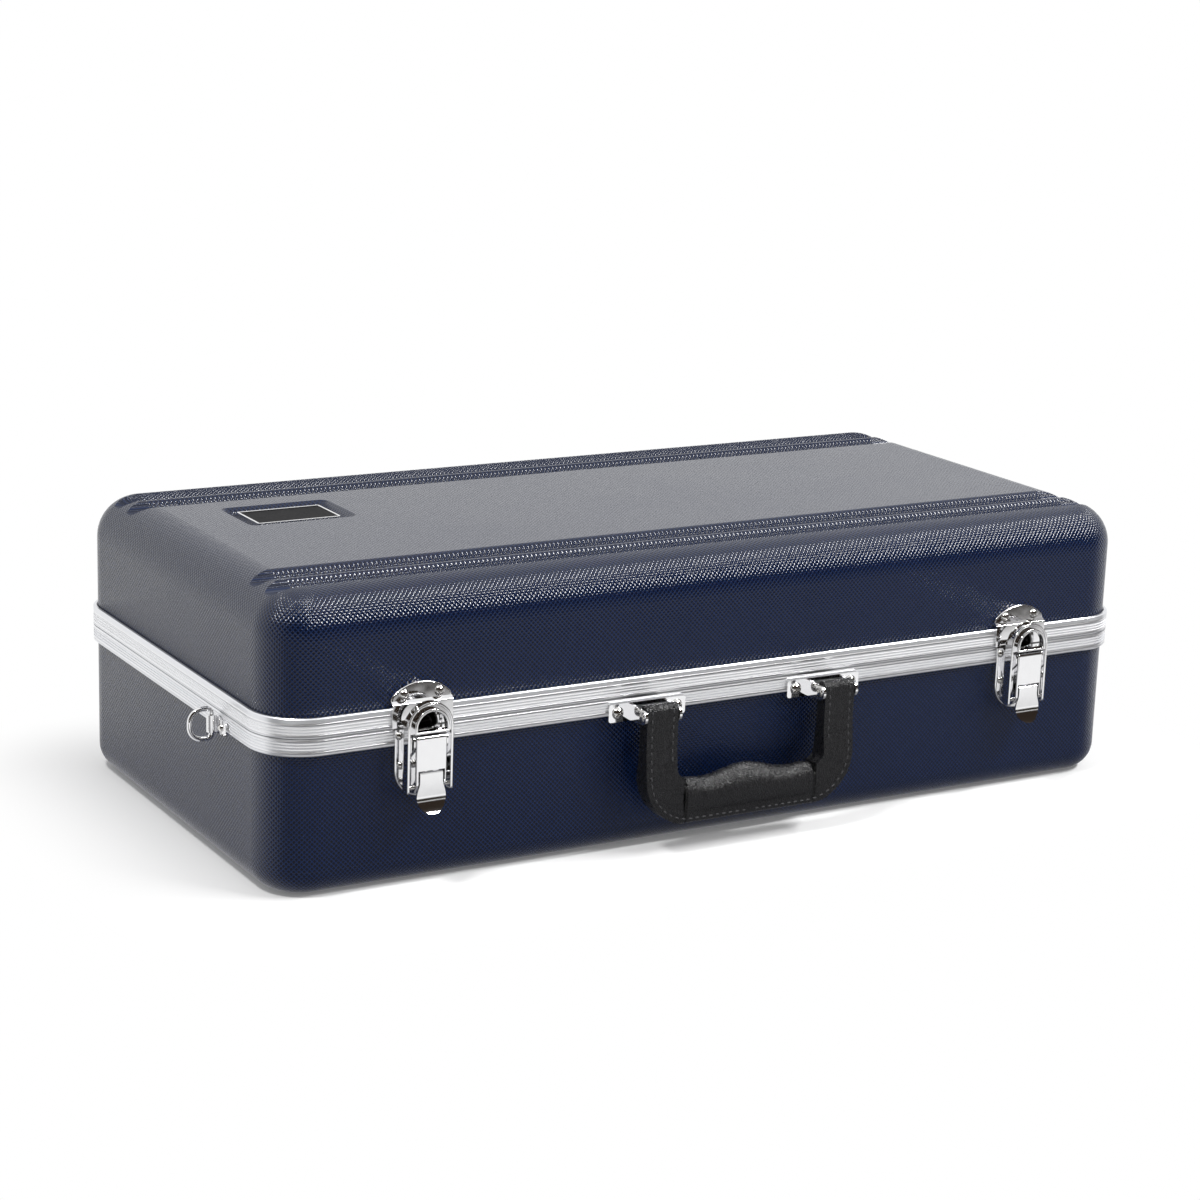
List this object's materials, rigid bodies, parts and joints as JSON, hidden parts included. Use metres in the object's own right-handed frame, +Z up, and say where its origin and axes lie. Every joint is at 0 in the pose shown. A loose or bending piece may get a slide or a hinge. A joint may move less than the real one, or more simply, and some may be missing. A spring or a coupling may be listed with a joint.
{
  "type": "trumpet case",
  "caption": "Hard trumpet case with a moulded shell, aluminium valances, draw latches, a swinging handle and a fitted lining.",
  "frame": {"origin": "centre of the base's underside", "axes": "+X along the length, +Y towards the lid's hinges, +Z up; latches and handle face -Y"},
  "size_m": [0.5942, 0.307, 0.164],
  "materials": {
    "shell_plastic": "fine moulded grain",
    "valance_aluminium": "satin, reeded",
    "chrome_plate": "bright plate",
    "pin_steel": "bright",
    "hinge_steel": "nickel plate",
    "badge_metal": "polished border",
    "badge_dark": "satin",
    "handle_plastic": "leather grain",
    "lining_plush": "short plush on foam",
    "ribbon": "woven",
    "small_hinge_brass": "plain"
  },
  "bodies": {
    "base": {"base_shell": "shell_plastic", "base_valance": "valance_aluminium", "hinge_base_rivets": "pin_steel", "latch_plate_rivets": "pin_steel", "bracket_screws": "pin_steel", "ring_clip_rivets": "pin_steel", "handle_bracket_left": "chrome_plate", "handle_bracket_right": "chrome_plate", "handle_pins": "pin_steel", "ring_clip_left": "chrome_plate", "ring_clip_right": "chrome_plate", "trumpet_bed": "lining_plush", "flap_hinge_bed_leaf": "small_hinge_brass", "flap_hinge_pin": "small_hinge_brass", "hinge_left_base_leaf": "hinge_steel", "hinge_left_pin": "hinge_steel", "latch_left_plate": "chrome_plate", "latch_left_lever_pin": "pin_steel", "hinge_right_base_leaf": "hinge_steel", "hinge_right_pin": "hinge_steel", "latch_right_plate": "chrome_plate", "latch_right_lever_pin": "pin_steel"},
    "lid": {"lid_shell": "shell_plastic", "lid_valance": "valance_aluminium", "badge_plate": "badge_metal", "badge_face": "badge_dark", "hinge_lid_rivets": "pin_steel", "keeper_rivets": "pin_steel", "lid_liner": "lining_plush", "hinge_left_lid_leaf": "hinge_steel", "latch_left_keeper": "chrome_plate", "hinge_right_lid_leaf": "hinge_steel", "latch_right_keeper": "chrome_plate"},
    "handle": {"handle_strap": "handle_plastic", "handle_grip": "handle_plastic"},
    "flap": {"accessory_flap": "lining_plush", "pull_tab": "ribbon", "flap_hinge_flap_leaf": "small_hinge_brass"},
    "left lever": {"latch_left_lever": "chrome_plate", "latch_left_bail_pin": "pin_steel"},
    "left bail": {"latch_left_bail": "chrome_plate"},
    "left catch": {"latch_left_catch": "chrome_plate", "latch_left_catch_spring": "pin_steel"},
    "left strap ring": {"strap_ring_left": "chrome_plate"},
    "right lever": {"latch_right_lever": "chrome_plate", "latch_right_bail_pin": "pin_steel"},
    "right bail": {"latch_right_bail": "chrome_plate"},
    "right catch": {"latch_right_catch": "chrome_plate", "latch_right_catch_spring": "pin_steel"},
    "right strap ring": {"strap_ring_right": "chrome_plate"}
  },
  "joints": [
    {"name": "lid_hinge", "type": "hinge", "parent": "base", "child": "lid", "pos_m": [0, 0.1424, 0.0887], "axis": [-1, 0, 0], "range_deg": [0, 105]},
    {"name": "handle_swing", "type": "hinge", "parent": "base", "child": "handle", "pos_m": [0, -0.154, 0.0815], "axis": [-1, 0, 0], "range_deg": [-8, 175]},
    {"name": "flap_hinge", "type": "hinge", "parent": "base", "child": "flap", "pos_m": [-0.12, 0.11, 0.0816], "axis": [-1, 0, 0], "range_deg": [0, 95]},
    {"name": "left_latch_lever", "type": "hinge", "parent": "base", "child": "left lever", "pos_m": [-0.1946, -0.1475, 0.0833], "axis": [-1, 0, 0], "range_deg": [0, 120]},
    {"name": "left_latch_bail", "type": "hinge", "parent": "left lever", "child": "left bail", "pos_m": [-0.1946, -0.147, 0.0582], "axis": [-1, 0, 0], "range_deg": [-150, 0]},
    {"name": "left_latch_catch", "type": "hinge", "parent": "left lever", "child": "left catch", "pos_m": [-0.1946, -0.147, 0.0582], "axis": [-1, 0, 0], "range_deg": [0, 15], "stiffness_Nm_per_rad": 0.02},
    {"name": "left_strap_ring", "type": "hinge", "parent": "base", "child": "left strap ring", "pos_m": [-0.2835, -0.07, 0.0816], "axis": [0, 0, 1], "range_deg": [-75, 75]},
    {"name": "right_latch_lever", "type": "hinge", "parent": "base", "child": "right lever", "pos_m": [0.1976, -0.1475, 0.0833], "axis": [-1, 0, 0], "range_deg": [0, 120]},
    {"name": "right_latch_bail", "type": "hinge", "parent": "right lever", "child": "right bail", "pos_m": [0.1976, -0.147, 0.0582], "axis": [-1, 0, 0], "range_deg": [-150, 0]},
    {"name": "right_latch_catch", "type": "hinge", "parent": "right lever", "child": "right catch", "pos_m": [0.1976, -0.147, 0.0582], "axis": [-1, 0, 0], "range_deg": [0, 15], "stiffness_Nm_per_rad": 0.02},
    {"name": "right_strap_ring", "type": "hinge", "parent": "base", "child": "right strap ring", "pos_m": [0.2835, -0.07, 0.0816], "axis": [0, 0, 1], "range_deg": [-75, 75]}
  ],
  "couplings": [
    {"joint": "left_latch_bail", "follows": "left_latch_lever", "ratio": -1.25},
    {"joint": "right_latch_bail", "follows": "right_latch_lever", "ratio": -1.25}
  ]
}
